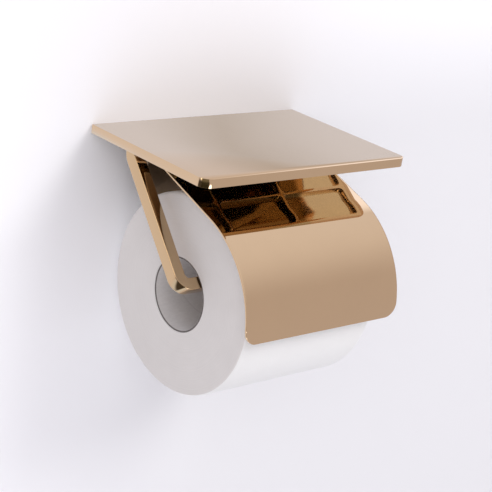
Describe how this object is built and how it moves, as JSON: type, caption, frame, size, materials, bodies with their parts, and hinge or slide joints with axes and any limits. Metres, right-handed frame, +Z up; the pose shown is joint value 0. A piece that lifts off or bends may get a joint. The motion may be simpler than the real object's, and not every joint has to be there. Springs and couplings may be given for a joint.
{
  "type": "toilet paper holder",
  "caption": "Wall-mounted toilet paper holder with a ribbed shelf, a bent side arm that carries the roll and a hinged curved cover flap, in polished gold.",
  "frame": {"origin": "centre of the two wall screw holes, on the wall plane", "axes": "+Y into the wall, +Z up, +X to the right as seen by someone facing the wall"},
  "size_m": [0.15, 0.1258, 0.1356],
  "materials": {
    "gold_plating": "polished champagne gold plating on cast metal",
    "gold_sheet": "polished champagne gold plating on 1 mm sheet",
    "zinc_steel": "zinc-plated pressed steel, satin",
    "screw_steel": "bright steel with light machining marks",
    "pin_steel": "ground steel rod",
    "nylon": "natural moulded nylon",
    "core_board": "spiral-wound grey board",
    "tissue": null
  },
  "bodies": {
    "holder": {"wall_bracket": "zinc_steel", "back_plate": "gold_plating", "grub_screw_left": "screw_steel", "grub_screw_right": "screw_steel", "shelf": "gold_plating", "shelf_screw_left": "screw_steel", "shelf_screw_right": "screw_steel", "arm_foot": "gold_plating", "arm_screw_rear": "screw_steel", "arm_screw_front": "screw_steel", "holder_arm": "gold_plating", "hinge_pin": "pin_steel", "hinge_bush_left": "nylon", "hinge_bush_right": "nylon", "pin_clip_left": "screw_steel", "pin_clip_right": "screw_steel"},
    "cover": {"cover_flap": "gold_sheet"},
    "core": {"cardboard_core": "core_board"},
    "roll": {"paper_roll": "tissue"}
  },
  "joints": [
    {"name": "cover_hinge", "type": "hinge", "parent": "holder", "child": "cover", "pos_m": [0, -0.029, 0.0112], "axis": [-1, 0, 0], "range_deg": [0, 19]},
    {"name": "roll_slide", "type": "slide", "parent": "holder", "child": "core", "axis": [1, 0, 0], "range_m": [0, 0.1]},
    {"name": "roll_spin", "type": "hinge", "parent": "core", "child": "roll", "pos_m": [-0.003, -0.0624, -0.0572], "axis": [1, 0, 0], "continuous": true}
  ]
}
